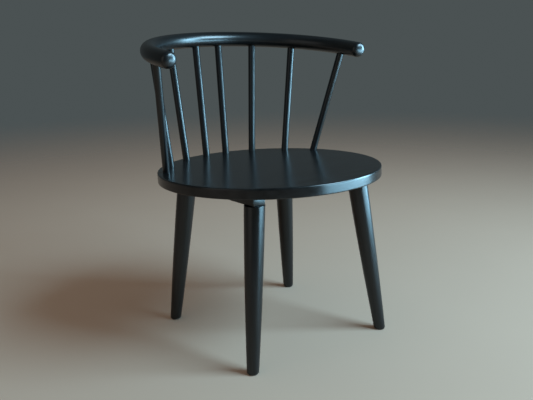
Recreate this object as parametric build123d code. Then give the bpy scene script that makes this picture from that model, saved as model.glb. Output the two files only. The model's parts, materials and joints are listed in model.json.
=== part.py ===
from build123d import *

import os
from math import asin, cos, pi, radians, sin

# A dining chair: a round seat on two cleats and four splayed legs, and a horseshoe rail on eight spindles.
# Millimetres, +Z up. The sitter faces -Y, so the sitter's left is +X.
# The origin is on the floor, under the middle of the chair's plan.

# Seat board
seat_diameter = 564.0
seat_thickness = 25.0
seat_height = 430.0  # top face above the floor, at its centre
seat_rake = 2.0  # degrees, the back edge is the lower one
seat_top_easing = 3.0
seat_bottom_easing = 1.5
seat_socket_floor = 7.0  # wood left under the middle of each spindle

# Back rail: a round bar on an arc whose plane rises towards the back
rail_diameter = 40.0
rail_radius = 283.0  # of the bar's centre line
rail_setback = 9.0  # centre of the arc behind the centre of the seat
rail_height = 710.0  # centre of the arc above the floor
rail_pitch = 5.5  # degrees
rail_half_sweep = 95.1  # degrees, from the middle of the back to where each end starts to round over
rail_rim_round = 12.0  # round on the rim of each end
rail_crown_radius = 35.0  # of the crowned face inside that rim
rail_socket_past_centre = 6.0  # reach of a spindle past the bar's centre line

# Spindles, with their angles in degrees from the middle of the back, in order towards the front
spindle_diameter = 19.0
spindle_inset = 23.0  # centre of each spindle in from the seat's edge
spindle_seat_angles = (7.1, 24.6, 45.7, 64.7)
spindle_rail_angles = (7.3, 27.5, 50.4, 82.9)
spindle_end_chamfer = 1.5

# Cleats under the seat, front to back
cleat_width = 32.0
cleat_thickness = 25.0
cleat_offset = 157.0  # centre line from the middle of the chair
cleat_overhang = 19.0  # past the axis of the leg at each end
cleat_chamfer = 2.0  # along the two lower edges

# Legs: where their axes meet the cleats, and where their feet stand
leg_top_diameter = 49.0
leg_foot_diameter = 28.4
leg_belly = 1.5  # how far the outline swells past a straight taper at mid length
leg_front_reach = 158.0  # ahead of the seat's centre, along the cleat
leg_back_reach = 152.0  # behind the seat's centre, along the cleat
foot_front_spread = 202.0
foot_front_reach = 205.0
foot_back_spread = 194.0
foot_back_reach = 180.0
foot_chamfer = 1.2

# Glides nailed under the feet
glide_margin = 1.3  # in from the rim of the foot's flat sole
glide_thickness = 3.0
glide_edge_round = 1.5
glide_nail_diameter = 2.5
glide_nail_length = 14.0

# Hanger bolts in the legs and the sleeves in the cleats that take them
bolt_diameter = 8.0
bolt_leg_length = 45.0
bolt_setback = 2.0  # from the top of the sleeve to the end of the bolt
bolt_tip = 5.0
bolt_end_chamfer = 1.0
insert_diameter = 12.0
insert_recess = 0.5  # inside the cleat's face
insert_cover = 5.0  # wood left over the middle of each sleeve

# Countersunk screws that hold the cleats to the seat
screws_per_cleat = 4
screw_leg_distance = 48.0  # from a leg's axis to the nearest screw, along the cleat
screw_diameter = 4.5
screw_head_diameter = 9.0
screw_head_rim = 0.6
screw_bite = 11.0  # length in the seat
screw_tip = 6.0
screw_recess = 0.4  # inside the cleat's face

# Clearances
glue_gap = 0.1  # all round a spindle in its socket
bore_gap = 0.1  # all round a fastener in its hole
end_gap = 0.5  # between the end of a rod or fastener and the bottom of its hole

from_base = (Align.CENTER, Align.CENTER, Align.MIN)
from_top = (Align.CENTER, Align.CENTER, Align.MAX)
sides = {"left": 1, "right": -1}

# Where the seat's centre lies along Y, so that the plan's front and back are equally far from the origin
front_of_plan = seat_diameter / 2 * cos(radians(seat_rake)) + seat_thickness * sin(radians(seat_rake))
back_of_plan = rail_setback + rail_radius * cos(radians(rail_pitch)) + rail_diameter / 2
seat_centre_y = (front_of_plan - back_of_plan) / 2

seat_plane = Plane(
    origin=(0, seat_centre_y, seat_height),
    x_dir=(1, 0, 0),
    z_dir=(0, sin(radians(seat_rake)), cos(radians(seat_rake))),
)
cleat_face_plane = seat_plane.offset(-seat_thickness - cleat_thickness)
rail_plane = Plane(
    origin=(0, seat_centre_y + rail_setback, rail_height),
    x_dir=(1, 0, 0),
    z_dir=(0, -sin(radians(rail_pitch)), cos(radians(rail_pitch))),
)


def on_circle(plane, radius, angle, side):
    """Point on a circle in a plane, at an angle from its back, on the sitter's left (1) or right (-1)."""
    turn = radians(angle)
    return plane.from_local_coords(Vector(side * radius * sin(turn), radius * cos(turn), 0))


def rod(start, end, diameter):
    """Plain round bar between two points."""
    run = end - start
    return Plane(origin=start, z_dir=run) * Cylinder(diameter / 2, run.length, align=from_base)


def turned(*outline):
    """Solid of revolution about Z from (radius, height) points, closed along the axis."""
    points = [(radius, 0, height) for radius, height in outline]
    return revolve(make_face(Polyline(*points, close=True)), Axis.Z)


def spindle_line(side, number):
    """Where a spindle's axis meets the seat's top and the rail's centre line, and its direction."""
    foot = on_circle(seat_plane, seat_diameter / 2 - spindle_inset, spindle_seat_angles[number], side)
    head = on_circle(rail_plane, rail_radius, spindle_rail_angles[number], side)
    return foot, head, (head - foot).normalized()


def spindle_ends(side, number):
    """Both ends of a spindle, down in the seat and up in the rail."""
    foot, head, direction = spindle_line(side, number)
    slope = direction.dot(seat_plane.z_dir)
    sunk = (seat_thickness - seat_socket_floor) / slope
    return foot - direction * sunk, head + direction * rail_socket_past_centre


def make_spindle(side, number):
    bar = rod(*spindle_ends(side, number), spindle_diameter)
    return chamfer(bar.edges().filter_by(GeomType.CIRCLE), spindle_end_chamfer)


def spindle_socket(side, number):
    """Room for a spindle in the seat and in the rail, with the glue's thickness round it."""
    low, high = spindle_ends(side, number)
    spare = (high - low).normalized() * end_gap
    return rod(low - spare, high + spare, spindle_diameter + 2 * glue_gap)


def all_sockets():
    numbers = range(len(spindle_seat_angles))
    return [spindle_socket(side, number) for side in sides.values() for number in numbers]


def leg_line(side, front):
    """Where a leg's axis meets the floor and the underside of its cleat."""
    spread = foot_front_spread if front else foot_back_spread
    reach = -foot_front_reach if front else foot_back_reach
    along = -leg_front_reach if front else leg_back_reach
    foot = Vector(side * spread, seat_centre_y + reach, 0)
    return foot, cleat_face_plane.from_local_coords(Vector(side * cleat_offset, along, 0))


def bolt_plane(side, front):
    """Plane across a leg's axis where it meets its cleat, facing up."""
    foot, top = leg_line(side, front)
    return Plane(origin=top, z_dir=top - foot)


def glide_centre(side, front):
    """Middle of a leg's sawn foot, which sits on the glide."""
    foot, top = leg_line(side, front)
    return foot + (top - foot) * (glide_thickness / top.Z)


def make_leg(side, front):
    foot, top = leg_line(side, front)
    length = (top - foot).length

    def radius_at(height):
        share = height / length
        straight = leg_foot_diameter + share * (leg_top_diameter - leg_foot_diameter)
        return straight / 2 + 4 * leg_belly * share * (1 - share)

    # The blank is longer than the leg, and is sawn off parallel to the cleat and to the floor.
    waste = leg_top_diameter / 2
    low, middle, high = -waste, length / 2, length + waste
    taper = ThreePointArc(*[(radius_at(height), 0, height) for height in (low, middle, high)])
    inside = Polyline(taper @ 1, (0, 0, high), (0, 0, low), taper @ 0)
    leg = Plane(origin=foot, z_dir=top - foot) * revolve(make_face([taper, inside]), Axis.Z)
    leg = split(leg, cleat_face_plane, keep=Keep.BOTTOM)
    leg = split(leg, Plane.XY.offset(glide_thickness), keep=Keep.TOP)
    # A wide upright cone with its small end at the sole eases the foot's rim.
    sole_radius = leg_foot_diameter / 2 - foot_chamfer
    trim = Cone(sole_radius, sole_radius + seat_height, seat_height, align=from_base)
    sole_place = Pos(*glide_centre(side, front))
    leg = leg & sole_place * trim
    bolt_hole_depth = bolt_leg_length + end_gap
    bolt_hole = Cylinder(bolt_diameter / 2 + bore_gap, bolt_hole_depth + waste, align=from_base)
    nail_hole = Cylinder(glide_nail_diameter / 2 + bore_gap, glide_nail_length + end_gap, align=from_base)
    return leg - [bolt_plane(side, front) * Pos(0, 0, -bolt_hole_depth) * bolt_hole, sole_place * nail_hole]


def make_glide(side, front):
    """Round glide with a flat sole, and the nail that holds it in the foot."""
    radius = leg_foot_diameter / 2 - foot_chamfer - glide_margin
    sole = Cylinder(radius, glide_thickness, align=from_top)
    sole = fillet(sole.faces().sort_by(Axis.Z)[0].edges(), glide_edge_round)
    nail = glide_nail_diameter / 2
    nail_point = glide_nail_length - nail
    shank = turned((0, 0), (nail, 0), (nail, nail_point), (0, glide_nail_length))
    return Pos(*glide_centre(side, front)) * (sole + shank)


def bolt_positions():
    return [(side, front) for side in sides.values() for front in (True, False)]


def sleeve_span():
    """Lower and upper end of a sleeve along a leg's axis, above the cleat's face."""
    upright = min(bolt_plane(*place).z_dir.dot(cleat_face_plane.z_dir) for place in bolt_positions())
    slant = (1 - upright**2) ** 0.5
    return insert_recess + insert_diameter / 2 * slant, cleat_thickness - insert_cover


def make_bolts():
    """Hanger bolts: a pointed end down in the leg and a chamfered end up in the cleat."""
    radius = bolt_diameter / 2
    top = sleeve_span()[1] - bolt_setback
    blank = turned(
        (0, -bolt_leg_length),
        (radius, -bolt_leg_length + bolt_tip),
        (radius, top - bolt_end_chamfer),
        (radius - bolt_end_chamfer, top),
        (0, top),
    )
    return Compound([bolt_plane(*place) * blank for place in bolt_positions()])


def make_inserts():
    """Sleeves let into the cleats along the legs' axes."""
    low, high = sleeve_span()
    sleeve = Cylinder(insert_diameter / 2, high - low, align=from_base)
    sleeve -= Cylinder(bolt_diameter / 2 + bore_gap, high - low, align=from_base)
    return Compound([bolt_plane(*place) * Pos(0, 0, low) * sleeve for place in bolt_positions()])


def screw_places():
    """Planes at the cleats' faces, one for each screw, facing up into the seat."""
    first = -leg_front_reach + screw_leg_distance
    last = leg_back_reach - screw_leg_distance
    step = (last - first) / (screws_per_cleat - 1)
    along = [first + step * number for number in range(screws_per_cleat)]
    return {
        side: [cleat_face_plane * Pos(side * cleat_offset, y, 0) for y in along]
        for side in sides.values()
    }


def screw_blank(gap=0.0):
    """Countersunk screw, point up. With a gap it is the hole for one, open at the cleat's face."""
    head = screw_head_diameter / 2 + gap
    shank = screw_diameter / 2 + gap
    base = 0.0 if gap else screw_recess
    rim = screw_recess + screw_head_rim
    neck = rim + head - shank
    end = cleat_thickness + screw_bite + (end_gap if gap else 0.0)
    return turned((0, base), (head, base), (head, rim), (shank, neck), (shank, end - screw_tip), (0, end))


def make_screws():
    blank = screw_blank()
    return Compound([place * blank for places in screw_places().values() for place in places])


def make_seat():
    board = Cylinder(seat_diameter / 2, seat_thickness, align=from_top)
    board = fillet(board.faces().sort_by(Axis.Z)[-1].edges(), seat_top_easing)
    board = fillet(board.faces().sort_by(Axis.Z)[0].edges(), seat_bottom_easing)
    holes = [place * screw_blank(bore_gap) for places in screw_places().values() for place in places]
    return seat_plane * board - all_sockets() - holes


def make_cleat(side):
    """Batten whose ends stand past the legs, bored for the sleeves and the screws."""
    front_end = -leg_front_reach - cleat_overhang
    back_end = leg_back_reach + cleat_overhang
    bar = Box(cleat_width, back_end - front_end, cleat_thickness, align=from_base)
    lower_edges = bar.faces().sort_by(Axis.Z)[0].edges().filter_by(Axis.Y)
    bar = chamfer(lower_edges, cleat_chamfer)
    bar = cleat_face_plane * Pos(side * cleat_offset, (front_end + back_end) / 2, 0) * bar
    depth = sleeve_span()[1] + end_gap
    bore = Cylinder(insert_diameter / 2 + bore_gap, depth + insert_diameter, align=from_top)
    bores = [bolt_plane(side, front) * Pos(0, 0, depth) * bore for front in (True, False)]
    return bar - bores - [place * screw_blank(bore_gap) for place in screw_places()[side]]


def rail_end():
    """What the rail has past its sweep at each end: a shallow crown that runs into a rounded rim."""
    flat = rail_diameter / 2 - rail_rim_round
    spare = rail_crown_radius - rail_rim_round
    slope = asin(flat / spare)

    def on_rim(angle):
        return flat + rail_rim_round * sin(angle), 0, rail_rim_round * cos(angle)

    def on_crown(angle):
        return rail_crown_radius * sin(angle), 0, rail_crown_radius * cos(angle) - spare * cos(slope)

    rim = ThreePointArc(on_rim(pi / 2), on_rim(pi / 4 + slope / 2), on_rim(slope))
    crown = ThreePointArc(rim @ 1, on_crown(slope / 2), on_crown(0))
    inside = Polyline(crown @ 1, (0, 0, 0), rim @ 0)
    return revolve(make_face([rim, crown, inside]), Axis.Z)


def make_rail():
    """Bent round bar with its shaped ends, bored underneath at each spindle's own angle."""
    section = Plane.XZ * Pos(rail_radius, 0, 0) * Circle(rail_diameter / 2)
    bar = Rot(0, 0, 90 - rail_half_sweep) * revolve(section, Axis.Z, 2 * rail_half_sweep)
    shaped_end = rail_end()
    turn = radians(rail_half_sweep)
    for side in sides.values():
        end = Vector(side * rail_radius * sin(turn), rail_radius * cos(turn), 0)
        outward = Vector(side * cos(turn), -sin(turn), 0)
        bar += Plane(origin=end, z_dir=outward) * shaped_end
    return rail_plane * bar - all_sockets()


chair = {"seat": make_seat(), "back_rail": make_rail()}
for side_name, side in sides.items():
    chair[f"cleat_{side_name}"] = make_cleat(side)
    for number in range(len(spindle_seat_angles)):
        chair[f"spindle_{side_name}_{number + 1}"] = make_spindle(side, number)
    for end_name in ("front", "back"):
        front = end_name == "front"
        chair[f"leg_{end_name}_{side_name}"] = make_leg(side, front)
        chair[f"glide_{end_name}_{side_name}"] = make_glide(side, front)
chair["leg_bolts"] = make_bolts()
chair["insert_nuts"] = make_inserts()
chair["cleat_screws"] = make_screws()

os.makedirs("parts", exist_ok=True)
for node, shape in chair.items():
    export_step(shape, f"parts/{node}.step")
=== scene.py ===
import json
from math import acos, atan2, cos, hypot, pi, radians, sin, sqrt

import bmesh
import bpy
import numpy as np
from mathutils import Matrix, Vector


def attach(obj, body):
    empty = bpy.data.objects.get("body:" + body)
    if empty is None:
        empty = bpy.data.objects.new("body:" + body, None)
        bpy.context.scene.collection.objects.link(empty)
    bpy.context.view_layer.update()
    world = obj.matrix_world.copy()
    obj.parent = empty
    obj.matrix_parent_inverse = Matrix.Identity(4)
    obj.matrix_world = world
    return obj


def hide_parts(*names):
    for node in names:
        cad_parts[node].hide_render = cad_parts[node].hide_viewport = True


bl_info = {
    "name": "Stick back chair",
    "version": (1, 0, 0),
    "blender": (4, 5, 0),
    "location": "3D View > Sidebar > Chair",
    "description": "Makes a black stick back chair, piece by piece, around its construction model",
    "category": "Object",
}

# The construction model is the frame: places and main sizes are read from it, in metres.
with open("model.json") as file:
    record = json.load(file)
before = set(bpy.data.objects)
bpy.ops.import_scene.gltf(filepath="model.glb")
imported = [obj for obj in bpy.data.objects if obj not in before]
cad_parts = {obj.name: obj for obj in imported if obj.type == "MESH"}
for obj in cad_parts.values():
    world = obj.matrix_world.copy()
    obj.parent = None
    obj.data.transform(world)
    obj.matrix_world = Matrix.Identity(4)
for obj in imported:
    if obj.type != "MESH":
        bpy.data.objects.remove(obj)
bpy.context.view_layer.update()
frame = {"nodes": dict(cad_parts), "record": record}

BODY = "root"
SIDES = ("left", "right")
ENDS = ("front", "back")
STICKS = [f"{side}_{number}" for side in SIDES for number in range(1, 5)]
CORNERS = [f"{end}_{side}" for end in ENDS for side in SIDES]

FACET = 0.00002  # how far the facets of a round in the frame may fall short of it
SAME_POINT = 1e-6  # points of the frame that are closer than this are one
CLOSE = 1e-5  # points of a piece that are closer than this are one
END_SHARE = 0.16  # share of the bow's rings that shape its two ends
RIM_SHARE = 0.9  # share of a glide's radius beyond which its rim lies
SOLE_SHARE = 0.6  # of a glide's sole, where a ring lies so that the sole shades flat
SPARE_LENGTH = 0.02  # left on a leg for the saw, and on a cutter that starts in the open
PAST_FACE = 0.002  # how far a screw's cutter stands out of the batten
TIP_LENGTH = 2.6  # of a screw's point, in shank radii
TIP_RADIUS = 0.0001
SEAT_SIDES = 6  # times the flats round a bar
SCREW_SIDES = 32
SLEEVE_SIDES = 32
BOLT_SIDES = 24
GLIDE_SIDES = 48
FLOOR_SIDES = 96
SCREW_SEED = 3  # for the turn at which each screw was left
SHARP_CORNER = radians(50)  # edges that turn further than this get eased
SMOOTH_LIMIT = radians(35)  # edges that turn further than this stay crisp


# Reading the frame

def solids_of(node):
    """Points of each separate solid in a node of the frame, with no point twice, in order of place."""
    shape = bmesh.new()
    shape.from_mesh(frame["nodes"][node].data)
    bmesh.ops.remove_doubles(shape, verts=shape.verts, dist=SAME_POINT)
    seen, solids = set(), []
    for first in shape.verts:
        if first in seen:
            continue
        seen.add(first)
        reached = [first]
        for vertex in reached:
            for edge in vertex.link_edges:
                other = edge.other_vert(vertex)
                if other not in seen:
                    seen.add(other)
                    reached.append(other)
        solids.append(np.array([vertex.co for vertex in reached]))
    shape.free()
    return sorted(solids, key=lambda points: tuple(points.mean(axis=0).round(3)))


def points_of(node):
    return np.concatenate(solids_of(node))


def bars_of(node):
    return [Bar(solid) for solid in solids_of(node)]


class Bar:
    """Axis and girth of a straight round piece, from its points."""

    def __init__(self, points):
        middle = points.mean(axis=0)
        direction = np.linalg.svd(points - middle, full_matrices=False)[2][0]
        direction = direction if direction[2] > 0 else -direction
        along = (points - middle) @ direction
        self.direction = Vector(direction)
        self.low = Vector(middle + along.min() * direction)
        self.high = Vector(middle + along.max() * direction)
        across = points - middle - np.outer(along, direction)
        self.radius = float(np.linalg.norm(across, axis=1).max())


class SeatBoard:
    """Place and size of the round seat board."""

    def __init__(self):
        mount = next(m for m in frame["record"]["mounts"] if m["name"] == "seat_top")
        self.centre = Vector(mount["pos_m"])
        self.up = Vector(mount["axis"]).normalized()
        self.side = Vector((1, 0, 0))
        self.back = self.up.cross(self.side)
        points = self.local(points_of("seat"))
        self.diameter = 2 * float(np.linalg.norm(points[:, :2], axis=1).max())
        self.thickness = float(-points[:, 2].min())

    def local(self, points):
        """Points as (to the side, to the back, above the seat)."""
        return (points - np.array(self.centre)) @ np.array([self.side, self.back, self.up]).T

    def matrix(self):
        axes = Matrix((self.side, self.back, self.up)).transposed().to_4x4()
        return Matrix.Translation(self.centre) @ axes


class ArmBow:
    """Place and size of the bent arm rail: a round bar on an arc, with crowned ends."""

    STEEPEST = radians(20)
    NEAR_ENOUGH = 1e-5

    def __init__(self):
        points = points_of("back_rail")
        # The bow's plane has the tilt at which the bow is thinnest.
        # The range that holds this tilt is narrowed down from both ends.
        low, high = 0.0, self.STEEPEST
        while high - low > self.NEAR_ENOUGH:
            first, second = low + (high - low) / 3, high - (high - low) / 3
            if np.ptp(points @ self.up_at(first)) < np.ptp(points @ self.up_at(second)):
                high = second
            else:
                low = first
        tilt = (low + high) / 2
        up, back = self.up_at(tilt), np.array((0, cos(tilt), sin(tilt)))
        heights = points @ up
        self.up, self.back = Vector(up), Vector(back)
        self.diameter = float(np.ptp(heights))
        self.radius = float(np.ptp(points[:, 0]) - self.diameter) / 2
        level = float(heights.min() + heights.max()) / 2
        reach = points[:, 1].max() - FACET - self.diameter / 2 + level * sin(tilt)
        middle_back = float(reach / cos(tilt) - self.radius)
        self.centre = self.up * level + self.back * middle_back
        self.front = float((points @ back).min() + FACET - middle_back)

    def half_sweep(self, crown, rim):
        """Angle from the middle of the back to where each end starts to round over to its crowned face."""
        behind = sqrt((crown - rim) ** 2 - (self.diameter / 2 - rim) ** 2)
        return atan2(behind, self.radius) + acos((self.front + crown) / hypot(self.radius, behind))

    @staticmethod
    def up_at(tilt):
        return np.array((0, -sin(tilt), cos(tilt)))


class TurnedLeg:
    """Axis and outline of a leg: its bolt lies on its axis, and its radius is a square law along it."""

    def __init__(self, corner):
        points = points_of(f"leg_{corner}")
        middle = Vector(points.mean(axis=0))
        bolt = min(bolts, key=lambda b: (b.low - middle).length)
        self.direction = bolt.direction
        self.origin = bolt.high
        away = points - np.array(self.origin)
        along = away @ np.array(self.direction)
        radii = np.linalg.norm(away - np.outer(along, self.direction), axis=1)
        turned = (radii > 2 * bolt.radius) & (along > along.min() + radii.max())  # clear of bore and sole
        self.outline = np.polyfit(along[turned], radii[turned], 2)
        self.floor = float(points[:, 2].min())
        self.reach = (float(along.min()), float(along.max()))

    def radius(self, along):
        return float(np.polyval(self.outline, along))


seat = SeatBoard()
bow = ArmBow()
bolts = bars_of("leg_bolts")
sleeves = bars_of("insert_nuts")
screws = bars_of("cleat_screws")
sticks = {name: Bar(points_of(f"spindle_{name}")) for name in STICKS}
legs = {corner: TurnedLeg(corner) for corner in CORNERS}
batten_depth = -float(seat.local(points_of("cleat_left"))[:, 2].min())


# What a user may change

def kind_of(make, **fixed):
    """Function that declares one kind of property from its name, description and default."""
    def declare(name, description, default):
        return make(name=name, description=description, default=default, **fixed)

    return declare


length = kind_of(bpy.props.FloatProperty, min=0.0, precision=4, subtype="DISTANCE", unit="LENGTH")
turn = kind_of(bpy.props.FloatProperty, subtype="ANGLE", unit="ROTATION")
colour = kind_of(bpy.props.FloatVectorProperty, size=3, min=0.0, max=1.0, subtype="COLOR")
share = kind_of(bpy.props.FloatProperty, min=0.0, max=1.0, subtype="FACTOR")
power = kind_of(bpy.props.FloatProperty, min=0.0, unit="POWER")
count = kind_of(bpy.props.IntProperty, min=3)
position = kind_of(bpy.props.FloatVectorProperty, size=3, unit="LENGTH")
focal_length = kind_of(bpy.props.FloatProperty, unit="CAMERA")


class ChairSizes(bpy.types.PropertyGroup):
    """Sizes of the pieces. Those that the frame holds start from it."""

    seat_diameter: length("Seat diameter", "Across the round seat board", seat.diameter)
    seat_thickness: length("Seat thickness", "Of the seat board", seat.thickness)
    seat_top_easing: length("Seat top easing", "Round on the upper edge of the seat", 0.003)
    seat_bottom_easing: length("Seat bottom easing", "Round on the lower edge of the seat", 0.0015)
    bow_diameter: length("Bow diameter", "Of the bent arm rail's round bar", bow.diameter)
    bow_radius: length("Bow radius", "Of the bend, at the bar's centre line", bow.radius)
    bow_crown: length("Bow crown", "Radius of the crowned face on each end of the bow", 0.035)
    bow_rim: length("Bow rim", "Round on the rim of each end of the bow", 0.012)
    stick_diameter: length("Stick diameter", "Of each round stick", 2 * sticks["left_1"].radius)
    stick_easing: length("Stick easing", "Chamfer on both ends of a stick", 0.0015)
    foot_easing: length("Foot easing", "Round on the rim of a foot", 0.0012)
    batten_chamfer: length("Batten chamfer", "Along the lower edges of a batten", 0.002)
    batten_easing: length("Batten easing", "On the end edges of a batten", 0.0006)
    screw_head: length("Screw head", "Radius of a countersunk head", max(screw.radius for screw in screws))
    screw_shank: length("Screw shank", "Radius of a screw's shank", 0.00225)
    screw_rim: length("Screw rim", "Upright rim of a countersunk head", 0.0006)
    recess_width: length("Recess width", "Across the cross recess of a screw", 0.0046)
    recess_slot: length("Recess slot", "Width of each arm of the cross recess", 0.0011)
    recess_depth: length("Recess depth", "Of the cross recess", 0.0018)
    glue_gap: length("Glue gap", "All round a stick or fastener in its hole", 0.0001)
    round_sides: count("Round sides", "Flats round each bar", 64)
    bow_rows: count("Bow rows", "Rings along the bend", 201)
    leg_rows: count("Leg rows", "Rings along a leg", 25)


class ChairFinish(bpy.types.PropertyGroup):
    """Colours and sheen of the finishes."""

    stain: colour("Stain", "Black stain on close grain", (0.0014, 0.0020, 0.0026))
    open_grain: colour("Open grain", "Black stain where the grain is open", (0.0120, 0.0126, 0.0132))
    rubbed: colour("Rubbed edge", "Wood showing through on handled edges", (0.05, 0.036, 0.026))
    lacquer_roughness: share("Lacquer roughness", "Satin sheen of the lacquer", 0.30)
    seat_roughness: share("Seat roughness", "Sheen of the seat, polished by use", 0.235)
    stave_width: length("Stave width", "Of the boards glued up into the seat", 0.094)
    ring_width: length("Ring width", "Between the year rings of the wood", 0.0032)
    nylon: colour("Nylon", "Moulded glides", (0.022, 0.022, 0.023))
    steel: colour("Steel", "Zinc plated screws and bolts", (0.62, 0.62, 0.6))
    dull_steel: colour("Dull steel", "Zinc plate where it has dulled", (0.42, 0.42, 0.4))
    brass: colour("Brass", "Turned sleeves", (0.7, 0.55, 0.28))
    dull_brass: colour("Dull brass", "Brass where it has dulled", (0.42, 0.3, 0.14))


class ChairStage(bpy.types.PropertyGroup):
    """The floor, the light and the camera."""

    floor: colour("Floor", "Pale matt floor", (0.40, 0.30, 0.23))
    surround: colour("Surround", "Plain grey behind the floor", (0.070, 0.084, 0.086))
    soft: colour("Soft light", "Even light from all round", (1.0, 0.93, 0.86))
    soft_strength: share("Soft strength", "Of the even light from all round", 0.35)
    floor_radius: length("Floor radius", "Where the floor has faded into the surround", 4.5)
    sky: colour("Sky", "Soft light from high up on the window side", (0.46, 0.78, 1.0))
    sky_turn: turn("Sky turn", "Round the chair, from its front towards the sitter's left", radians(36.0))
    sky_power: power("Sky power", "Of the light from high up", 165.0)
    window: colour("Window", "Cool window that only reflections show", (0.38, 0.75, 1.0))
    side_turn: turn("Side turn", "Of the tall side window, as the sky turn", radians(64.0))
    side_power: power("Side power", "Of the tall side window", 115.0)
    strip_turn: turn("Strip turn", "Of the low strip of window, as the sky turn", radians(44.0))
    strip_power: power("Strip power", "Of the low strip of window", 32.0)
    fill: colour("Fill", "Soft light from the other side", (1.0, 0.95, 0.9))
    fill_turn: turn("Fill turn", "Round the chair, as the sky turn", radians(-80.0))
    fill_power: power("Fill power", "Of the soft light from the other side", 4.0)
    camera_place: position("Camera place", "Of the lens", (-1.02703, -1.44593, 0.79876))
    camera_turn: turn("Camera turn", "About the vertical, from facing the chair's front", radians(-35.3786))
    camera_tilt: turn("Camera tilt", "Below the horizon", radians(14.6181))
    camera_roll: turn("Camera roll", "About the line of sight", radians(-0.9209))
    camera_lens: focal_length("Lens", "Focal length on a 36 mm wide frame", 47.772)


# Node trees

class NodeValue:
    """What a node gives. A formula that is written with it becomes nodes of the same tree."""

    def __init__(self, tree, socket):
        self.tree = tree
        self.socket = socket

    def math(self, operation, *others):
        return calc(self.tree, operation, self, *others)

    def __add__(self, other):
        return calc(self.tree, "ADD", self, other)

    def __sub__(self, other):
        return calc(self.tree, "SUBTRACT", self, other)

    def __rsub__(self, other):
        return calc(self.tree, "SUBTRACT", other, self)

    def __mul__(self, other):
        return calc(self.tree, "MULTIPLY", self, other)

    def __rmul__(self, other):
        return calc(self.tree, "MULTIPLY", other, self)

    def __truediv__(self, other):
        return calc(self.tree, "DIVIDE", self, other)

    def __rtruediv__(self, other):
        return calc(self.tree, "DIVIDE", other, self)


def feed(tree, node, inputs):
    """Gives a node's inputs their values, or what other nodes give."""
    for key, value in inputs.items():
        if isinstance(value, NodeValue):
            tree.links.new(value.socket, node.inputs[key])
        else:
            node.inputs[key].default_value = value


def add_node(tree, kind, inputs=None, **settings):
    node = tree.nodes.new(kind)
    for name, value in settings.items():
        setattr(node, name, value)
    feed(tree, node, inputs or {})
    return node


def value_of(tree, kind, inputs=None, output=0, **settings):
    """What a new node gives at one of its outputs."""
    return NodeValue(tree, add_node(tree, kind, inputs, **settings).outputs[output])


def calc(tree, operation, *values):
    return value_of(tree, "ShaderNodeMath", dict(enumerate(values)), operation=operation)


def vector_calc(tree, operation, *values):
    return value_of(tree, "ShaderNodeVectorMath", dict(enumerate(values)), operation=operation)


def vector_scale(tree, vector, factor):
    return value_of(tree, "ShaderNodeVectorMath", {0: vector, "Scale": factor}, operation="SCALE")


def vector_part(tree, vector, axis):
    return value_of(tree, "ShaderNodeSeparateXYZ", {0: vector}, axis)


def map_range(tree, value, low, high, to_low=0.0, to_high=1.0):
    inputs = {"Value": value, "From Min": low, "From Max": high, "To Min": to_low, "To Max": to_high}
    return value_of(tree, "ShaderNodeMapRange", inputs, "Result")


def tree_named(name, make):
    return bpy.data.node_groups.get(name) or make()


def new_group(name, kind, inputs, outputs):
    """Empty node group with named sockets. Returns it with what its inputs give and its output node."""
    tree = bpy.data.node_groups.new(name, kind)
    for direction, sockets in (("INPUT", inputs), ("OUTPUT", outputs)):
        for socket_name, socket_kind in sockets.items():
            tree.interface.new_socket(socket_name, in_out=direction, socket_type=f"NodeSocket{socket_kind}")
    entry = tree.nodes.new("NodeGroupInput")
    given = {socket_name: NodeValue(tree, entry.outputs[socket_name]) for socket_name in inputs}
    return tree, given, tree.nodes.new("NodeGroupOutput")


def new_shape_group(name, inputs):
    return new_group(name, "GeometryNodeTree", {**inputs, "Material": "Material"}, {"Geometry": "Geometry"})


def close_tree(tree, geometry, given, result):
    """Ends a geometry tree: instances made real, smooth faces and one material."""
    real = value_of(tree, "GeometryNodeRealizeInstances", {"Geometry": geometry})
    smooth = value_of(tree, "GeometryNodeSetShadeSmooth", {"Geometry": real})
    inputs = {"Geometry": smooth, "Material": given["Material"]}
    feed(tree, result, {"Geometry": value_of(tree, "GeometryNodeSetMaterial", inputs)})
    return tree


def curve_through(tree, rows, spots):
    """Curve with a point at the spot of each row."""
    line = value_of(tree, "GeometryNodeMeshLine", {"Count": rows, "Offset": (0.0, 0.0, 1.0)})
    curve = value_of(tree, "GeometryNodeMeshToCurve", {"Mesh": line})
    return value_of(tree, "GeometryNodeSetPosition", {"Geometry": curve, "Position": spots})


def sweep(tree, curve, radius, sides, caps):
    """Round bar along a curve, with a radius for each of its points."""
    ring = value_of(tree, "GeometryNodeCurvePrimitiveCircle", {"Resolution": sides, "Radius": 1.0})
    inputs = {"Curve": curve, "Profile Curve": ring, "Scale": radius, "Fill Caps": caps}
    return value_of(tree, "GeometryNodeCurveToMesh", inputs)


def turned_bar_tree():
    """A round bar between two points whose radius runs from foot to head, with a belly between."""
    tree, given, result = new_shape_group("turned_bar", {
        "Foot": "Vector", "Head": "Vector", "Foot Radius": "Float", "Head Radius": "Float",
        "Belly": "Float", "Rows": "Int", "Sides": "Int",
    })
    line = value_of(tree, "GeometryNodeCurvePrimitiveLine", {"Start": given["Foot"], "End": given["Head"]})
    rows = value_of(tree, "GeometryNodeResampleCurve", {"Curve": line, "Count": given["Rows"]})
    along = value_of(tree, "GeometryNodeSplineParameter", output="Factor")
    left = 1.0 - along
    taper = left * given["Foot Radius"] + along * given["Head Radius"]
    swell = along * left * (4.0 * given["Belly"])  # the whole belly at mid length, none at the ends
    return close_tree(tree, sweep(tree, rows, taper + swell, given["Sides"], True), given, result)


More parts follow.
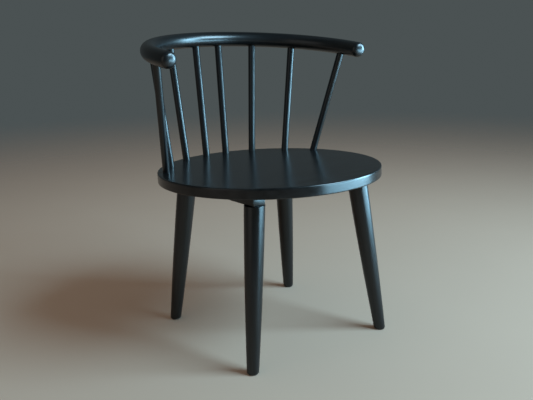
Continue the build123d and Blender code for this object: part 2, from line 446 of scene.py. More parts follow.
def arm_bow_tree():
    """A round bar bent to an arc that lies flat, open to the front, with crowned and rounded ends."""
    tree, given, result = new_shape_group("arm_bow", {
        "Bend Radius": "Float", "Bar Radius": "Float", "Half Sweep": "Float", "End Share": "Float",
        "Crown Radius": "Float", "Rim Round": "Float", "Rows": "Int", "Sides": "Int",
    })
    bend, rim, crown = given["Bend Radius"], given["Rim Round"], given["Crown Radius"]
    # Where a ring lies: -1 and 1 are the tips of the two ends, 0 is the middle of the back.
    index = value_of(tree, "GeometryNodeInputIndex")
    place = index / ((given["Rows"] - 1.0) * 0.5) - 1.0
    side, away = place.math("SIGN"), place.math("ABSOLUTE")
    bar_share = 1.0 - given["End Share"]
    angle = (away / bar_share).math("MINIMUM", 1.0) * given["Half Sweep"] * side
    # An end's outline turns by a right angle: first round the rim, then over the crown.
    past = (away - bar_share) / given["End Share"]
    end_turn = past.math("MAXIMUM", 0.0) * (pi / 2)
    inner = given["Bar Radius"] - rim
    crown_half = (inner / (crown - rim)).math("ARCSINE")
    limit = pi / 2 - crown_half
    rim_turn = end_turn.math("MINIMUM", limit)
    crown_turn = pi / 2 - end_turn.math("MAXIMUM", limit)
    crown_rise = crown_turn.math("COSINE") - crown_half.math("COSINE")
    overrun = (rim_turn.math("SINE") * rim + crown_rise * crown) * side
    crown_drop = crown_turn.math("SINE") - crown_half.math("SINE")
    radius = inner + rim_turn.math("COSINE") * rim + crown_drop * crown
    sine, cosine = angle.math("SINE"), angle.math("COSINE")
    spot = {"X": sine * bend + cosine * overrun, "Y": cosine * bend - sine * overrun}
    curve = curve_through(tree, given["Rows"], value_of(tree, "ShaderNodeCombineXYZ", spot))
    bar = sweep(tree, curve, radius, given["Sides"], False)
    closed = value_of(tree, "GeometryNodeMergeByDistance", {"Geometry": bar, "Distance": CLOSE})
    return close_tree(tree, closed, given, result)


def batten_screws_tree():
    """Countersunk screws with a cross recess, one on each point, each left at its own turn."""
    tree, given, result = new_shape_group("batten_screws", {
        "Points": "Geometry", "Up": "Vector", "Head Radius": "Float", "Rim": "Float",
        "Shank Radius": "Float", "Length": "Float", "Recess Width": "Float", "Recess Slot": "Float",
        "Recess Depth": "Float", "Sides": "Int", "Seed": "Int",
    })
    head, shank = given["Head Radius"], given["Shank Radius"]
    neck = given["Rim"] + (head - shank)
    heights = (0.0, given["Rim"], neck, given["Length"] - shank * TIP_LENGTH, given["Length"])
    radii = (head, head, shank, shank, TIP_RADIUS)
    index = value_of(tree, "GeometryNodeInputIndex")

    def by_row(values):
        switch = add_node(tree, "GeometryNodeIndexSwitch", data_type="FLOAT")
        while len(switch.index_switch_items) < len(values):
            switch.index_switch_items.new()
        feed(tree, switch, dict(enumerate((index, *values))))
        return NodeValue(tree, switch.outputs[0])

    spot = value_of(tree, "ShaderNodeCombineXYZ", {"Z": by_row(heights)})
    curve = curve_through(tree, len(heights), spot)
    screw = sweep(tree, curve, by_row(radii), given["Sides"], True)
    wide, slot, depth = given["Recess Width"], given["Recess Slot"], given["Recess Depth"] * 2.0
    for across in ((wide, slot), (slot, wide)):
        size = value_of(tree, "ShaderNodeCombineXYZ", dict(enumerate((*across, depth))))
        arm = value_of(tree, "GeometryNodeMeshCube", {"Size": size})
        inputs = {"Mesh 1": screw, "Mesh 2": arm}
        screw = value_of(tree, "GeometryNodeMeshBoolean", inputs, "Mesh", operation="DIFFERENCE")
    upright = value_of(tree, "FunctionNodeAlignRotationToVector", {"Vector": given["Up"]}, axis="Z")
    # Input 3 and output 1 of this node are those for single numbers.
    spin = value_of(tree, "FunctionNodeRandomValue", {3: pi, "Seed": given["Seed"]}, 1, data_type="FLOAT")
    twist = value_of(tree, "FunctionNodeAxisAngleToRotation", {"Axis": (0.0, 0.0, 1.0), "Angle": spin})
    inputs = {"Rotation": upright, "Rotate By": twist}
    turned = value_of(tree, "FunctionNodeRotateRotation", inputs, rotation_space="LOCAL")
    inputs = {"Points": given["Points"], "Instance": screw, "Rotation": turned}
    return close_tree(tree, value_of(tree, "GeometryNodeInstanceOnPoints", inputs), given, result)


# Meshes

def link_piece(name, mesh):
    piece = bpy.data.objects.new(name, mesh)
    bpy.context.scene.collection.objects.link(piece)
    return piece


def settle(piece):
    """Turns what a piece's modifiers give into its plain mesh, and removes them."""
    depsgraph = bpy.context.evaluated_depsgraph_get()
    mesh = bpy.data.meshes.new_from_object(piece.evaluated_get(depsgraph), depsgraph=depsgraph)
    piece.modifiers.clear()
    piece.data = mesh
    mesh.name = piece.name
    return piece


def grow(name, tree, values, points=()):
    """New piece whose mesh a geometry tree makes from these values."""
    mesh = bpy.data.meshes.new(name)
    mesh.from_pydata([tuple(point) for point in points], [], [])
    piece = link_piece(name, mesh)
    modifier = piece.modifiers.new(tree.name, "NODES")
    modifier.node_group = tree
    for item in tree.interface.items_tree:
        if item.in_out == "INPUT" and item.name in values:
            modifier[item.identifier] = values[item.name]
    return settle(piece)


def turned_bar(name, foot, head, foot_radius, head_radius, belly, rows, sides, material):
    values = {
        "Foot": foot, "Head": head, "Foot Radius": foot_radius, "Head Radius": head_radius,
        "Belly": belly, "Rows": rows, "Sides": sides, "Material": material,
    }
    return grow(name, tree_named("turned_bar", turned_bar_tree), values)


def straight_rod(name, low, high, radius, sides, material):
    return turned_bar(name, low, high, radius, radius, belly=0.0, rows=2, sides=sides, material=material)


def lathe(name, outline, sides, matrix, material):
    """Solid of revolution from (radius, height) points, low to high, closed by flat ends or points."""
    turns = np.linspace(0, 2 * pi, sides, endpoint=False)
    shape = bmesh.new()
    rings = []
    for radius, height in outline:
        if radius > 0:
            rings.append([shape.verts.new((radius * cos(t), radius * sin(t), height)) for t in turns])
        else:
            rings.append([shape.verts.new((0, 0, height))])
    for low, high in zip(rings, rings[1:]):
        for number in range(sides):
            corners = [ring[(number + step) % len(ring)] for ring, step in
                       ((low, 0), (low, 1), (high, 1), (high, 0))]
            shape.faces.new(list(dict.fromkeys(corners)))
    if len(rings[0]) > 1:
        shape.faces.new(rings[0][::-1])
    if len(rings[-1]) > 1:
        shape.faces.new(rings[-1])
    shape.transform(matrix)
    mesh = bpy.data.meshes.new(name)
    shape.to_mesh(mesh)
    shape.free()
    mesh.materials.append(material)
    return link_piece(name, mesh)


def rounded(radius, height, easing, start, end, steps):
    """Outline points on a quarter round about (radius, height), from one angle to another in degrees."""
    angles = [radians(start + (end - start) * step / steps) for step in range(steps + 1)]
    return [(radius + easing * cos(angle), height + easing * sin(angle)) for angle in angles]


def along_bar(bar):
    """Matrix that stands a lathe's axis on the lower end of a bar."""
    turned = bar.direction.to_track_quat("Z", "Y").to_matrix().to_4x4()
    return Matrix.Translation(bar.low) @ turned


def bore(piece, cutters):
    """Cuts the cutters' shapes out of a piece."""
    for cutter in cutters:
        cut = piece.modifiers.new("bore", "BOOLEAN")
        cut.operation = "DIFFERENCE"
        cut.solver = "EXACT"
        cut.object = cutter
    settle(piece)
    for cutter in cutters:
        bpy.data.objects.remove(cutter)


def round_holes(bars, gap, sides, below=0.0, above=0.0):
    """Cutters for holes that take these bars, with a gap all round, reaching past their ends."""
    cutters = []
    for bar in bars:
        low = bar.low - bar.direction * below
        high = bar.high + bar.direction * above
        cutters.append(straight_rod("cutter", low, high, bar.radius + gap, sides, None))
    return cutters


def screw_holes(sizes):
    """Cutters for the countersunk screws, open at the battens' faces."""
    head = sizes.screw_head + sizes.glue_gap
    shank = sizes.screw_shank + sizes.glue_gap
    neck = sizes.screw_rim + head - shank
    cutters = []
    for screw in screws:
        length_in = (screw.high - screw.low).length + sizes.glue_gap
        outline = [(head, -PAST_FACE), (head, sizes.screw_rim), (shank, neck), (shank, length_in)]
        cutters.append(lathe("cutter", outline, SCREW_SIDES, along_bar(screw), None))
    return cutters


def saw(shape, point, outward):
    """Cuts off what lies beyond a plane, closes the cut and returns its rim."""
    everything = shape.verts[:] + shape.edges[:] + shape.faces[:]
    cut = bmesh.ops.bisect_plane(shape, geom=everything, plane_co=point, plane_no=outward, clear_outer=True)
    rim = [part for part in cut["geom_cut"] if isinstance(part, bmesh.types.BMEdge)]
    bmesh.ops.edgeloop_fill(shape, edges=rim)
    return rim


def sharp_edges(shape):
    closed = [edge for edge in shape.edges if len(edge.link_faces) == 2]
    return [edge for edge in closed if edge.calc_face_angle() > SHARP_CORNER]


def ease(shape, edges, width, steps):
    bmesh.ops.bevel(shape, geom=edges, offset=width, segments=steps, profile=0.5, affect="EDGES")


def edit(piece, change):
    """Runs a function on a piece's mesh while it is open for editing."""
    shape = bmesh.new()
    shape.from_mesh(piece.data)
    change(shape)
    bmesh.ops.recalc_face_normals(shape, faces=shape.faces)
    shape.to_mesh(piece.data)
    shape.free()


# Numbers of the planks that the pieces are cut from, one for each piece
SEAT_PLANK = 0
BOW_PLANK = 1
STICK_PLANKS = 2
LEG_PLANKS = 12
BATTEN_PLANKS = 20
PLANK_STEP = (0.71, 0.0, 0.37)  # from one plank in the stack of timber to the next
SINGLE_PLANK = 10.0  # wider than any piece, so that the grain has no joint


def mark_grain(piece, places, plank):
    """Stores where each point lies in its plank: along the grain, then across it."""
    places = places + np.array(PLANK_STEP) * plank
    attribute = piece.data.attributes.new("grain", "FLOAT_VECTOR", "POINT")
    attribute.data.foreach_set("vector", np.asarray(places, np.float32).ravel())


def piece_points(piece):
    points = np.empty(3 * len(piece.data.vertices))
    piece.data.vertices.foreach_get("co", points)
    return points.reshape(-1, 3)


def straight_grain(piece, origin, along, across, plank):
    """Grain that runs straight, in a plank of its own so that no two pieces look alike."""
    along = Vector(along).normalized()
    across = (Vector(across) - along * along.dot(Vector(across))).normalized()
    axes = np.array([along, across, along.cross(across)])
    mark_grain(piece, (piece_points(piece) - np.array(origin)) @ axes.T, plank)


def some_side(number):
    """A level direction, another one for each number."""
    return Vector((cos(number), sin(number), 0))


def finish_piece(piece, slot, *nodes):
    """Smooths a piece, sets it on the body and lets it stand for its nodes."""
    mesh = piece.data
    mesh.polygons.foreach_set("use_smooth", [True] * len(mesh.polygons))
    mesh.set_sharp_from_angle(angle=SMOOTH_LIMIT)
    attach(piece, BODY)
    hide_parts(*nodes)


# Finishes

# The grain's features in a metre along the grain, across it and through the plank
STREAKS_PER_METRE = (4.0, 75.0, 75.0)
WAVES_PER_METRE = (1.8, 16.0, 16.0)
PORES_PER_METRE = (130.0, 1900.0, 1900.0)
# Where a noise starts to show as a feature, and where it shows fully
STREAK_NOISE = (0.32, 0.72)
PORE_NOISE = (0.56, 0.66)
RUB_NOISE = (0.42, 0.68)
TARNISH_NOISE = (0.45, 0.75)
NOISE_RANGE = (0.3, 0.7)  # what most of a noise lies between
STAVE_JUMP = 5.0  # how far apart two staves may have been sawn, in metres
RING_SLOPE = 0.35  # of the year rings through the plank
RING_WANDER = 0.02  # of the year rings to either side, in metres
LATE_WOOD = 2.5  # how late in the year the wood gets dense
LATE_TONE = 0.45  # share of the open grain's colour that dense wood keeps
STREAK_RELIEF = 0.5
PORE_RELIEF = 0.7
STREAK_SHEEN = (-0.01, 0.02)  # what close grain and open grain add to the roughness
PORE_SHEEN = 0.02  # what an open pore adds to the roughness
RUBS_PER_METRE = 22.0
RUB_WIDTH = 0.0016  # of a rubbed edge
RUB_TURN = (0.97, 0.80)  # cosine of an edge's turn where it starts to be rubbed, and where it is fully
RUB_STRENGTH = 0.35
HAND_PATCH = 0.16  # size of a patch that hands have polished
HAND_POLISH = 0.015  # what hands take off the roughness
SCUFF_PATCH = 0.006  # size of a scuff on a glide
SCUFF_TONE = 2.2  # how many times lighter nylon is where it is scuffed
NYLON_ROUGHNESS = (0.62, 0.44)  # as moulded, and where it is scuffed
SPARKS_PER_METRE = 2600.0
MARK_SPACING = 0.0004  # of the marks that a lathe leaves
MARK_STRETCH = (0.15, 0.15, 1.0)  # of the noise, so that marks are long round a piece and narrow along it
MARK_SHEEN = (-0.08, 0.1)  # what the marks add to the roughness
TARNISH_PER_METRE = 90.0
TARNISH_STRENGTH = 0.8


def noise(tree, place, detail, scale=1.0, roughness=0.5):
    inputs = {"Vector": place, "Scale": scale, "Detail": detail, "Roughness": roughness}
    return value_of(tree, "ShaderNodeTexNoise", inputs)


def stretched_noise(tree, place, stretch, detail, roughness=0.5):
    """Noise with its own scale along each axis."""
    return noise(tree, vector_calc(tree, "MULTIPLY", place, stretch), detail, roughness=roughness)


def bump(tree, height, strength, distance):
    return value_of(tree, "ShaderNodeBump", {"Strength": strength, "Distance": distance, "Height": height})


def wood_grain_group():
    """Streaks, year rings and pores of straight-grained wood, sampled through the solid plank."""
    tree, given, result = new_group(
        "wood_grain", "ShaderNodeTree",
        {"Place": "Vector", "Stave Width": "Float", "Ring Width": "Float"},
        {"Streaks": "Float", "Rings": "Float", "Pores": "Float"},
    )
    stave = (vector_part(tree, given["Place"], "Y") / given["Stave Width"]).math("FLOOR")
    jump = value_of(tree, "ShaderNodeTexWhiteNoise", {"W": stave}, "Color", noise_dimensions="1D")
    place = vector_calc(tree, "ADD", given["Place"], vector_scale(tree, jump, STAVE_JUMP))
    streaks = stretched_noise(tree, place, STREAKS_PER_METRE, detail=5.0, roughness=0.62)
    wave = stretched_noise(tree, place, WAVES_PER_METRE, detail=2.0)
    pore = stretched_noise(tree, place, PORES_PER_METRE, detail=1.0)
    depth = vector_part(tree, place, "Y") + vector_part(tree, place, "Z") * RING_SLOPE
    ring = ((depth + wave * RING_WANDER) / given["Ring Width"]).math("FRACT")
    late = ring.math("POWER", LATE_WOOD)
    pores = map_range(tree, pore, *PORE_NOISE) * (1.0 - late)
    feed(tree, result, {"Streaks": streaks, "Rings": late, "Pores": pores})
    return tree


def edge_rub_group():
    """Mask of arrises that handling has rubbed, broken up along their length."""
    tree, given, result = new_group(
        "edge_rub", "ShaderNodeTree", {"Width": "Float", "Place": "Vector"}, {"Mask": "Float"}
    )
    bevel = value_of(tree, "ShaderNodeBevel", {"Radius": given["Width"]}, samples=6)
    normal = value_of(tree, "ShaderNodeNewGeometry", output="Normal")
    turned = value_of(tree, "ShaderNodeVectorMath", {0: bevel, 1: normal}, "Value", operation="DOT_PRODUCT")
    edge = map_range(tree, turned, *RUB_TURN)
    rubs = noise(tree, given["Place"], detail=3.0, scale=RUBS_PER_METRE)
    worn = map_range(tree, rubs, *RUB_NOISE)
    feed(tree, result, {"Mask": edge * worn})
    return tree


def handling_group():
    """Soft patches where hands have polished or dulled a surface."""
    tree, given, result = new_group(
        "handling", "ShaderNodeTree", {"Place": "Vector", "Patch Size": "Float"}, {"Polish": "Float"}
    )
    place = vector_scale(tree, given["Place"], 1.0 / given["Patch Size"])
    patches = noise(tree, place, detail=3.0, roughness=0.55)
    feed(tree, result, {"Polish": map_range(tree, patches, *NOISE_RANGE)})
    return tree


def turning_marks_group():
    """Fine rings left by a lathe or die round a metal piece, with faint tarnish."""
    tree, given, result = new_group(
        "turning_marks", "ShaderNodeTree", {"Place": "Vector", "Spacing": "Float"},
        {"Marks": "Float", "Tarnish": "Float"},
    )
    scaled = vector_scale(tree, given["Place"], 1.0 / given["Spacing"])
    marks = stretched_noise(tree, scaled, MARK_STRETCH, detail=2.0)
    tarnish = noise(tree, given["Place"], detail=4.0, scale=TARNISH_PER_METRE)
    feed(tree, result, {"Marks": marks, "Tarnish": tarnish})
    return tree


def place_group(tree, name, make, inputs):
    """What a group gives in a material, by name, from its own values."""
    node = add_node(tree, "ShaderNodeGroup", inputs, node_tree=tree_named(name, make))
    return {socket.name: NodeValue(tree, socket) for socket in node.outputs}


def new_material(name):
    """Material with only its shader. Returns it with its node tree and that shader."""
    material = bpy.data.materials.new(name)
    material.use_nodes = True
    return material, material.node_tree, material.node_tree.nodes["Principled BSDF"]


def mix_colour(tree, factor, first, second):
    """Colour between two, given as values or by other nodes."""
    first, second = (c if isinstance(c, NodeValue) else (*c, 1.0) for c in (first, second))
    # Inputs 6 and 7 and output 2 of this node are those for colours.
    return value_of(tree, "ShaderNodeMix", {0: factor, 6: first, 7: second}, 2, data_type="RGBA")


def black_wood(name, stave_width, roughness):
    """Black stain under satin lacquer, with the grain running the way the piece was cut."""
    made = bpy.data.materials.get(name)
    if made:
        return made
    finish = bpy.context.scene.chair_finish
    material, tree, shader = new_material(name)
    place = value_of(tree, "ShaderNodeAttribute", output="Vector", attribute_name="grain")
    inputs = {"Place": place, "Stave Width": stave_width, "Ring Width": finish.ring_width}
    grain = place_group(tree, "wood_grain", wood_grain_group, inputs)
    rub = place_group(tree, "edge_rub", edge_rub_group, {"Width": RUB_WIDTH, "Place": place})
    hands = place_group(tree, "handling", handling_group, {"Place": place, "Patch Size": HAND_PATCH})
    streak = map_range(tree, grain["Streaks"], *STREAK_NOISE)
    tone = streak * map_range(tree, grain["Rings"], 0.0, 1.0, 1.0, LATE_TONE)
    stained = mix_colour(tree, tone, finish.stain, finish.open_grain)
    sheen = map_range(tree, streak, 0.0, 1.0, *(roughness + change for change in STREAK_SHEEN))
    relief = grain["Streaks"] * STREAK_RELIEF - grain["Pores"] * PORE_RELIEF
    feed(tree, shader, {
        "Base Color": mix_colour(tree, rub["Mask"] * RUB_STRENGTH, stained, finish.rubbed),
        "Roughness": sheen - hands["Polish"] * HAND_POLISH + grain["Pores"] * PORE_SHEEN,
        "Specular IOR Level": 0.5,
        "Normal": bump(tree, relief, strength=0.03, distance=0.0002),
    })
    return material


def black_nylon():
    """Moulded nylon with a fine spark texture and scuffs."""
    finish = bpy.context.scene.chair_finish
    material, tree, shader = new_material("black nylon")
    place = value_of(tree, "ShaderNodeTexCoord", output="Object")
    inputs = {"Place": place, "Patch Size": SCUFF_PATCH}
    scuffs = place_group(tree, "handling", handling_group, inputs)["Polish"]
    lighter = tuple(SCUFF_TONE * channel for channel in finish.nylon)
    sparks = noise(tree, place, detail=2.0, scale=SPARKS_PER_METRE)
    feed(tree, shader, {
        "Base Color": mix_colour(tree, scuffs, finish.nylon, lighter),
        "Roughness": map_range(tree, scuffs, 0.0, 1.0, *NYLON_ROUGHNESS),
        "Normal": bump(tree, sparks, strength=0.3, distance=0.0001),
    })
    return material


def turned_metal(name, bright, dull, roughness):
    """Metal from the lathe or the die, with rings round it and a little tarnish."""
    made = bpy.data.materials.get(name)
    if made:
        return made
    material, tree, shader = new_material(name)
    place = value_of(tree, "ShaderNodeTexCoord", output="Object")
    inputs = {"Place": place, "Spacing": MARK_SPACING}
    metal = place_group(tree, "turning_marks", turning_marks_group, inputs)
    dulled = map_range(tree, metal["Tarnish"], *TARNISH_NOISE, 0.0, TARNISH_STRENGTH)
    sheen = map_range(tree, metal["Marks"], *NOISE_RANGE, *(roughness + change for change in MARK_SHEEN))
    feed(tree, shader, {
        "Base Color": mix_colour(tree, dulled, bright, dull),
        "Roughness": sheen,
        "Normal": bump(tree, metal["Marks"], strength=0.25, distance=0.00005),
        "Metallic": 1.0,
    })
    return material


def zinc_plate():
    finish = bpy.context.scene.chair_finish
    return turned_metal("zinc plate", finish.steel, finish.dull_steel, roughness=0.34)


def turned_brass():
    finish = bpy.context.scene.chair_finish
    return turned_metal("turned brass", finish.brass, finish.dull_brass, roughness=0.28)


def stick_wood():
    return black_wood("black wood", SINGLE_PLANK, bpy.context.scene.chair_finish.lacquer_roughness)


def stave_wood():
    finish = bpy.context.scene.chair_finish
    return black_wood("black wood staves", finish.stave_width, finish.seat_roughness)


# Pieces

class PieceMaker:
    """What the operators for pieces share: each makes its pieces from the chair's sizes, or raises."""

    def execute(self, context):
        self.make(context.scene.chair_sizes)
        return {"FINISHED"}


class CHAIR_OT_make_seat(PieceMaker, bpy.types.Operator):
    """Makes the round seat board, bored for the sticks and for the battens' screws"""

    bl_idname = "chair.make_seat"
    bl_label = "Seat board"

    def make(self, sizes):
        radius, depth = sizes.seat_diameter / 2, sizes.seat_thickness
        low, top = sizes.seat_bottom_easing, sizes.seat_top_easing
        # Rings beside each round keep the shading of the faces next to it flat.
        outline = [(radius - 3 * low, -depth)]
        outline += rounded(radius - low, low - depth, low, -90, 0, steps=4)
        outline += [(radius, 2 * low - depth), (radius, -2 * top)]
        outline += rounded(radius - top, -top, top, 0, 90, steps=6)
        outline += [(radius - 2 * top, 0.0)]
        sides = SEAT_SIDES * sizes.round_sides
        board = lathe("seat_board", outline, sides, seat.matrix(), stave_wood())
        gap = sizes.glue_gap
        bore(board, round_holes(sticks.values(), gap, sizes.round_sides, below=gap) + screw_holes(sizes))
        straight_grain(board, seat.centre, seat.side, seat.back, SEAT_PLANK)
        finish_piece(board, "black_wood", "seat")


class CHAIR_OT_make_bow(PieceMaker, bpy.types.Operator):
    """Makes the bent arm rail with its crowned ends, bored underneath for the sticks"""

    bl_idname = "chair.make_bow"
    bl_label = "Arm bow"

    def make(self, sizes):
        values = {
            "Bend Radius": sizes.bow_radius, "Bar Radius": sizes.bow_diameter / 2,
            "Half Sweep": bow.half_sweep(sizes.bow_crown, sizes.bow_rim),
            "Crown Radius": sizes.bow_crown, "Rim Round": sizes.bow_rim, "End Share": END_SHARE,
            "Rows": sizes.bow_rows, "Sides": sizes.round_sides, "Material": stick_wood(),
        }
        rail = grow("arm_bow", tree_named("arm_bow", arm_bow_tree), values)
        axes = Matrix((Vector((1, 0, 0)), bow.back, bow.up)).transposed().to_4x4()
        rail.data.transform(Matrix.Translation(bow.centre) @ axes)
        gap = sizes.glue_gap
        bore(rail, round_holes(sticks.values(), gap, sizes.round_sides, above=gap))
        away = piece_points(rail) - np.array(bow.centre)
        side, back, above = away[:, 0], away @ np.array(bow.back), away @ np.array(bow.up)
        along = np.arctan2(side, back) * sizes.bow_radius
        outward = np.hypot(side, back) - sizes.bow_radius
        mark_grain(rail, np.stack([along, outward, above], 1), BOW_PLANK)
        finish_piece(rail, "black_wood", "back_rail")


class CHAIR_OT_make_sticks(PieceMaker, bpy.types.Operator):
    """Makes the eight round sticks of the back, each at its own slope"""

    bl_idname = "chair.make_sticks"
    bl_label = "Sticks"

    def make(self, sizes):
        radius = sizes.stick_diameter / 2
        for number, (name, bar) in enumerate(sticks.items()):
            stick = straight_rod(f"stick_{name}", bar.low, bar.high, radius, sizes.round_sides, stick_wood())
            edit(stick, lambda shape: ease(shape, sharp_edges(shape), sizes.stick_easing, steps=1))
            straight_grain(stick, bar.low, bar.direction, some_side(number), STICK_PLANKS + number)
            finish_piece(stick, "black_wood", f"spindle_{name}")


class CHAIR_OT_make_legs(PieceMaker, bpy.types.Operator):
    """Turns the four tapered legs and saws them to the battens and to the floor"""

    bl_idname = "chair.make_legs"
    bl_label = "Legs"

    def make(self, sizes):
        face = seat.centre - seat.up * batten_depth
        for number, (corner, leg) in enumerate(legs.items()):
            low, high = leg.reach[0] - SPARE_LENGTH, leg.reach[1] + SPARE_LENGTH
            ends = leg.radius(low), leg.radius(high)
            belly = leg.radius((low + high) / 2) - sum(ends) / 2
            blank = turned_bar(
                f"turned_leg_{corner}", leg.origin + leg.direction * low, leg.origin + leg.direction * high,
                *ends, belly, sizes.leg_rows, sizes.round_sides, stick_wood(),
            )

            def cut_to_length(shape):
                saw(shape, face, seat.up)
                rim = saw(shape, Vector((0, 0, leg.floor)), Vector((0, 0, -1)))
                ease(shape, rim, sizes.foot_easing, steps=3)

            edit(blank, cut_to_length)
            bore(blank, round_holes(bolts, sizes.glue_gap, BOLT_SIDES, below=sizes.glue_gap))
            straight_grain(blank, leg.origin, leg.direction, some_side(number), LEG_PLANKS + number)
            finish_piece(blank, "black_wood", f"leg_{corner}")


class CHAIR_OT_make_battens(PieceMaker, bpy.types.Operator):
    """Makes the two battens under the seat, bored for screws and sleeves"""

    bl_idname = "chair.make_battens"
    bl_label = "Battens"

    def make(self, sizes):
        gap = sizes.glue_gap
        for number, side in enumerate(SIDES):
            points = seat.local(points_of(f"cleat_{side}"))
            low, high = points.min(axis=0), points.max(axis=0)
            middle = (high + low) / 2
            mesh = bpy.data.meshes.new(f"batten_{side}")
            mesh.materials.append(stick_wood())
            batten = link_piece(f"batten_{side}", mesh)

            def plane_up(shape):
                bmesh.ops.create_cube(shape, size=1.0)
                bmesh.ops.scale(shape, vec=Vector(high - low), verts=shape.verts)
                bmesh.ops.translate(shape, vec=Vector(middle), verts=shape.verts)
                lower = [edge for edge in shape.edges if all(v.co.z < middle[2] for v in edge.verts)]
                lengthwise = [edge for edge in lower if edge.calc_length() > high[0] - low[0] + SAME_POINT]
                ease(shape, lengthwise, sizes.batten_chamfer, steps=1)
                ends = [edge for edge in shape.edges for end in (low[1], high[1])
                        if all(abs(v.co.y - end) < CLOSE for v in edge.verts)]
                ease(shape, ends, sizes.batten_easing, steps=2)
                shape.transform(seat.matrix())

            edit(batten, plane_up)
            sleeve_holes = round_holes(sleeves, gap, SLEEVE_SIDES, below=SPARE_LENGTH, above=gap)
            bore(batten, screw_holes(sizes) + sleeve_holes)
            straight_grain(batten, seat.centre, seat.back, seat.side, BATTEN_PLANKS + number)
            finish_piece(batten, "black_wood", f"cleat_{side}")


class CHAIR_OT_make_screws(PieceMaker, bpy.types.Operator):
    """Makes the screws that hold the battens to the seat"""

    bl_idname = "chair.make_screws"
    bl_label = "Screws"

    def make(self, sizes):
        values = {
            "Up": seat.up, "Head Radius": sizes.screw_head, "Rim": sizes.screw_rim,
            "Shank Radius": sizes.screw_shank, "Length": (screws[0].high - screws[0].low).length,
            "Recess Width": sizes.recess_width, "Recess Slot": sizes.recess_slot,
            "Recess Depth": sizes.recess_depth, "Sides": SCREW_SIDES, "Seed": SCREW_SEED,
            "Material": zinc_plate(),
        }
        tree = tree_named("batten_screws", batten_screws_tree)
        made = grow("batten_screws", tree, values, [screw.low for screw in screws])
        finish_piece(made, "plated_steel", "cleat_screws")


class CHAIR_OT_make_glides(PieceMaker, bpy.types.Operator):
    """Makes the nylon glides under the feet, with the nails that hold them"""

    bl_idname = "chair.make_glides"
    bl_label = "Glides"

    def make(self, sizes):
        material = black_nylon()
        for corner in CORNERS:
            points = points_of(f"glide_{corner}")
            low, high = points.min(axis=0), points.max(axis=0)
            middle = (low + high) / 2
            radii = np.linalg.norm(points[:, :2] - middle[:2], axis=1)
            radius = float(radii.max())
            thickness = float(points[radii > RIM_SHARE * radius, 2].max())
            sole = float(radii[points[:, 2] < low[2] + CLOSE].max())
            nail = float(radii[points[:, 2] > thickness + 10 * CLOSE].max())
            edge = radius - sole
            outline = [(SOLE_SHARE * sole, 0.0)]
            outline += rounded(sole, edge, edge, -90, 0, steps=5)
            outline += [(radius, thickness), (nail, thickness), (nail, high[2] - nail), (0.0, high[2])]
            place = Matrix.Translation((middle[0], middle[1], 0))
            glide = lathe(f"foot_glide_{corner}", outline, GLIDE_SIDES, place, material)
            finish_piece(glide, "black_nylon", f"glide_{corner}")


class CHAIR_OT_finish_bolts(PieceMaker, bpy.types.Operator):
    """Gives the hidden bolts and sleeves their metal finishes"""

    bl_idname = "chair.finish_bolts"
    bl_label = "Bolts and sleeves"

    def make(self, sizes):
        for node, material in (("leg_bolts", zinc_plate()), ("insert_nuts", turned_brass())):
            frame["nodes"][node].material_slots[0].material = material


# Stage

FADE_START = 1.0  # how far from the chair the floor starts to fade
FLOOR_MOTTLE = 1.04  # how many times paler the floor is in patches
FRAME_WIDTH = 36.0  # of the camera, in millimetres


def floor_material(stage):
    """Pale floor that fades out into the surround."""
    material, tree, shader = new_material("pale floor")
    place = value_of(tree, "ShaderNodeTexCoord", output="Object")
    away = value_of(tree, "ShaderNodeVectorMath", {0: place}, "Value", operation="LENGTH")
    paler = tuple(min(1.0, FLOOR_MOTTLE * channel) for channel in stage.floor)
    tone = mix_colour(tree, noise(tree, place, detail=2.0, scale=3.0), stage.floor, paler)
    feed(tree, shader, {"Base Color": tone, "Specular IOR Level": 0.0})
    inputs = {"Value": away, "From Min": FADE_START, "From Max": stage.floor_radius}
    fade = value_of(tree, "ShaderNodeMapRange", inputs, interpolation_type="SMOOTHSTEP")
    floor = NodeValue(tree, shader.outputs[0])
    clear = value_of(tree, "ShaderNodeBsdfTransparent")
    mix = value_of(tree, "ShaderNodeMixShader", {0: fade, 1: floor, 2: clear})
    feed(tree, tree.nodes["Material Output"], {"Surface": mix})
    return material


def light_world(stage):
    """Even surround: one colour where it is seen or mirrored, a brighter one where it only lights."""
    world = bpy.data.worlds.new("surround")
    world.use_nodes = True
    tree = world.node_tree
    background = tree.nodes["Background"]
    feed(tree, background, {"Color": (*stage.surround, 1.0)})
    seen = NodeValue(tree, background.outputs[0])
    inputs = {"Color": (*stage.soft, 1.0), "Strength": stage.soft_strength}
    soft = value_of(tree, "ShaderNodeBackground", inputs)
    shown, glossy, through = (value_of(tree, "ShaderNodeLightPath", output=f"Is {kind} Ray")
                              for kind in ("Camera", "Glossy", "Transmission"))
    shown = shown.math("MAXIMUM", glossy).math("MAXIMUM", through)
    mix = value_of(tree, "ShaderNodeMixShader", {0: shown, 1: soft, 2: seen})
    feed(tree, tree.nodes["World Output"], {"Surface": mix})
    bpy.context.scene.world = world


def add_lamp(name, tint, watts, turned, size, away, height, aim_height):
    """Rectangular soft lamp that stands round the chair and faces it."""
    lamp = bpy.data.lights.new(name, "AREA")
    lamp.shape = "RECTANGLE"
    lamp.size, lamp.size_y = size
    lamp.color = tint
    lamp.energy = watts
    holder = bpy.data.objects.new(name, lamp)
    bpy.context.scene.collection.objects.link(holder)
    place = Vector((away * sin(turned), -away * cos(turned), height))
    facing = (Vector((0, 0, aim_height)) - place).to_track_quat("-Z", "Y").to_matrix().to_4x4()
    holder.matrix_world = Matrix.Translation(place) @ facing
    return holder


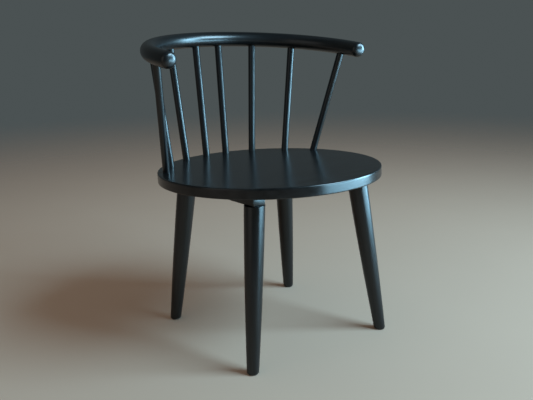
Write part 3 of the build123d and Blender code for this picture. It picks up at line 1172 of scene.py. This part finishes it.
def light_chair(stage):
    """Soft light from high up, a little from the other side, and windows that only reflections show."""
    add_lamp("sky_light", stage.sky, stage.sky_power, stage.sky_turn,
             size=(1.6, 1.1), away=2.2, height=2.2, aim_height=0.75)
    side = add_lamp("side_window", stage.window, stage.side_power, stage.side_turn,
                    size=(0.8, 1.4), away=2.3, height=1.05, aim_height=0.75)
    strip = add_lamp("low_strip", stage.window, stage.strip_power, stage.strip_turn,
                     size=(1.7, 0.4), away=1.5, height=0.34, aim_height=0.4)
    for lamp in (side, strip):
        lamp.visible_diffuse = False
    add_lamp("fill_light", stage.fill, stage.fill_power, stage.fill_turn,
             size=(1.8, 2.0), away=2.4, height=1.1, aim_height=0.5)


def camera_matrix(stage):
    """Place and aim of the camera, from its turn, tilt and roll."""
    turned, tilted, rolled = stage.camera_turn, stage.camera_tilt, stage.camera_roll
    ahead = Vector((-sin(turned) * cos(tilted), cos(turned) * cos(tilted), -sin(tilted)))
    right = Vector((cos(turned), sin(turned), 0))
    above = right.cross(ahead)
    axes = Matrix((
        cos(rolled) * right + sin(rolled) * above,
        cos(rolled) * above - sin(rolled) * right,
        -ahead,
    )).transposed().to_4x4()
    return Matrix.Translation(stage.camera_place) @ axes


class CHAIR_OT_set_stage(bpy.types.Operator):
    """Lays the pale floor, and sets up the soft lights and the camera"""

    bl_idname = "chair.set_stage"
    bl_label = "Stage"

    def execute(self, context):
        scene = context.scene
        stage = scene.chair_stage
        mesh = bpy.data.meshes.new("floor")
        shape = bmesh.new()
        bmesh.ops.create_circle(shape, cap_ends=True, radius=stage.floor_radius, segments=FLOOR_SIDES)
        shape.to_mesh(mesh)
        shape.free()
        mesh.materials.append(floor_material(stage))
        link_piece("floor", mesh)
        light_world(stage)
        light_chair(stage)
        camera = bpy.data.cameras.new("camera")
        camera.sensor_width = FRAME_WIDTH
        camera.lens = stage.camera_lens
        holder = bpy.data.objects.new("camera", camera)
        scene.collection.objects.link(holder)
        holder.matrix_world = camera_matrix(stage)
        scene.camera = holder
        scene.view_settings.view_transform = "Standard"
        return {"FINISHED"}


OPERATORS = (
    CHAIR_OT_make_seat,
    CHAIR_OT_make_bow,
    CHAIR_OT_make_sticks,
    CHAIR_OT_make_legs,
    CHAIR_OT_make_battens,
    CHAIR_OT_make_screws,
    CHAIR_OT_make_glides,
    CHAIR_OT_finish_bolts,
    CHAIR_OT_set_stage,
)


class CHAIR_PT_workshop(bpy.types.Panel):
    """Lists the pieces of the chair and the stage"""

    bl_idname = "CHAIR_PT_workshop"
    bl_label = "Stick back chair"
    bl_space_type = "VIEW_3D"
    bl_region_type = "UI"
    bl_category = "Chair"

    def draw(self, context):
        for operator in OPERATORS:
            self.layout.operator(operator.bl_idname)


GROUPS = {"chair_sizes": ChairSizes, "chair_finish": ChairFinish, "chair_stage": ChairStage}


def register():
    for cls in (*GROUPS.values(), *OPERATORS, CHAIR_PT_workshop):
        bpy.utils.register_class(cls)
    for name, group in GROUPS.items():
        setattr(bpy.types.Scene, name, bpy.props.PointerProperty(type=group))


def unregister():
    for name in GROUPS:
        delattr(bpy.types.Scene, name)
    for cls in (CHAIR_PT_workshop, *reversed(OPERATORS), *GROUPS.values()):
        bpy.utils.unregister_class(cls)


def main():
    register()
    bpy.ops.chair.make_seat()
    bpy.ops.chair.make_bow()
    bpy.ops.chair.make_sticks()
    bpy.ops.chair.make_legs()
    bpy.ops.chair.make_battens()
    bpy.ops.chair.make_screws()
    bpy.ops.chair.make_glides()
    bpy.ops.chair.finish_bolts()
    bpy.ops.chair.set_stage()


if __name__ == "__main__":
    main()
